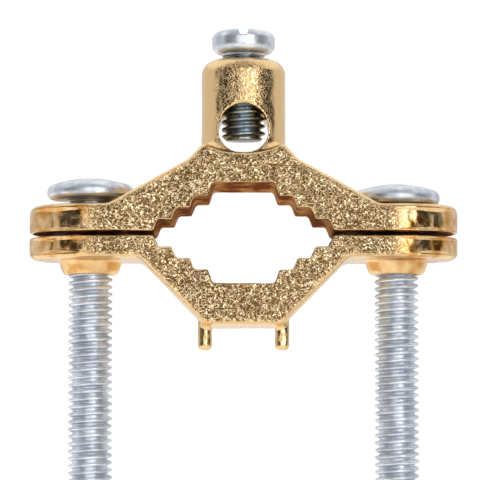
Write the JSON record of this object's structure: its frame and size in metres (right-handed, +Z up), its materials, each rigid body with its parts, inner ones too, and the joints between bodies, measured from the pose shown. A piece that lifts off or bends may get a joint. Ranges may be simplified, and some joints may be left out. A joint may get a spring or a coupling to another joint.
{
  "type": "earthing pipe clamp",
  "caption": "Two-piece cast brass earthing clamp for a water pipe: toothed jaws drawn together by slotted screws, with a round barrel and set screw that hold the earth wire.",
  "frame": {"origin": "centre of the pipe opening, midway between the jaws and through their depth", "axes": "+Z up to the wire barrel, along the clamp screws; the pipe runs along Y; the ears reach along X"},
  "size_m": [0.059, 0.017, 0.0744],
  "materials": {
    "jaw_brass": "as cast and tumbled",
    "zinc_steel": "bright zinc plate"
  },
  "bodies": {
    "upper_jaw": {"upper_jaw": "jaw_brass"},
    "lower_jaw": {"lower_jaw": "jaw_brass"},
    "clamp_screw_left": {"clamp_screw_left": "zinc_steel"},
    "clamp_screw_right": {"clamp_screw_right": "zinc_steel"},
    "wire_screw": {"wire_screw": "zinc_steel"}
  },
  "joints": [
    {"name": "jaw_travel", "type": "slide", "parent": "upper_jaw", "child": "lower_jaw", "axis": [0, 0, -1], "range_m": [-0.00035, 0.0385]},
    {"name": "clamp_screw_left_turn", "type": "hinge", "parent": "upper_jaw", "child": "clamp_screw_left", "pos_m": [-0.021, 0, 0], "axis": [0, 0, 1], "range_deg": [-127, 13861]},
    {"name": "clamp_screw_right_turn", "type": "hinge", "parent": "upper_jaw", "child": "clamp_screw_right", "pos_m": [0.021, 0, 0], "axis": [0, 0, 1], "range_deg": [-127, 13861]},
    {"name": "wire_screw_travel", "type": "slide", "parent": "upper_jaw", "child": "wire_screw", "axis": [0, 0, 1], "range_m": [-0.00075, 0.009]}
  ],
  "couplings": [
    {"joint": "clamp_screw_left_turn", "follows": "jaw_travel", "rad_per_m": 6283.2},
    {"joint": "clamp_screw_right_turn", "follows": "jaw_travel", "rad_per_m": 6283.2}
  ]
}
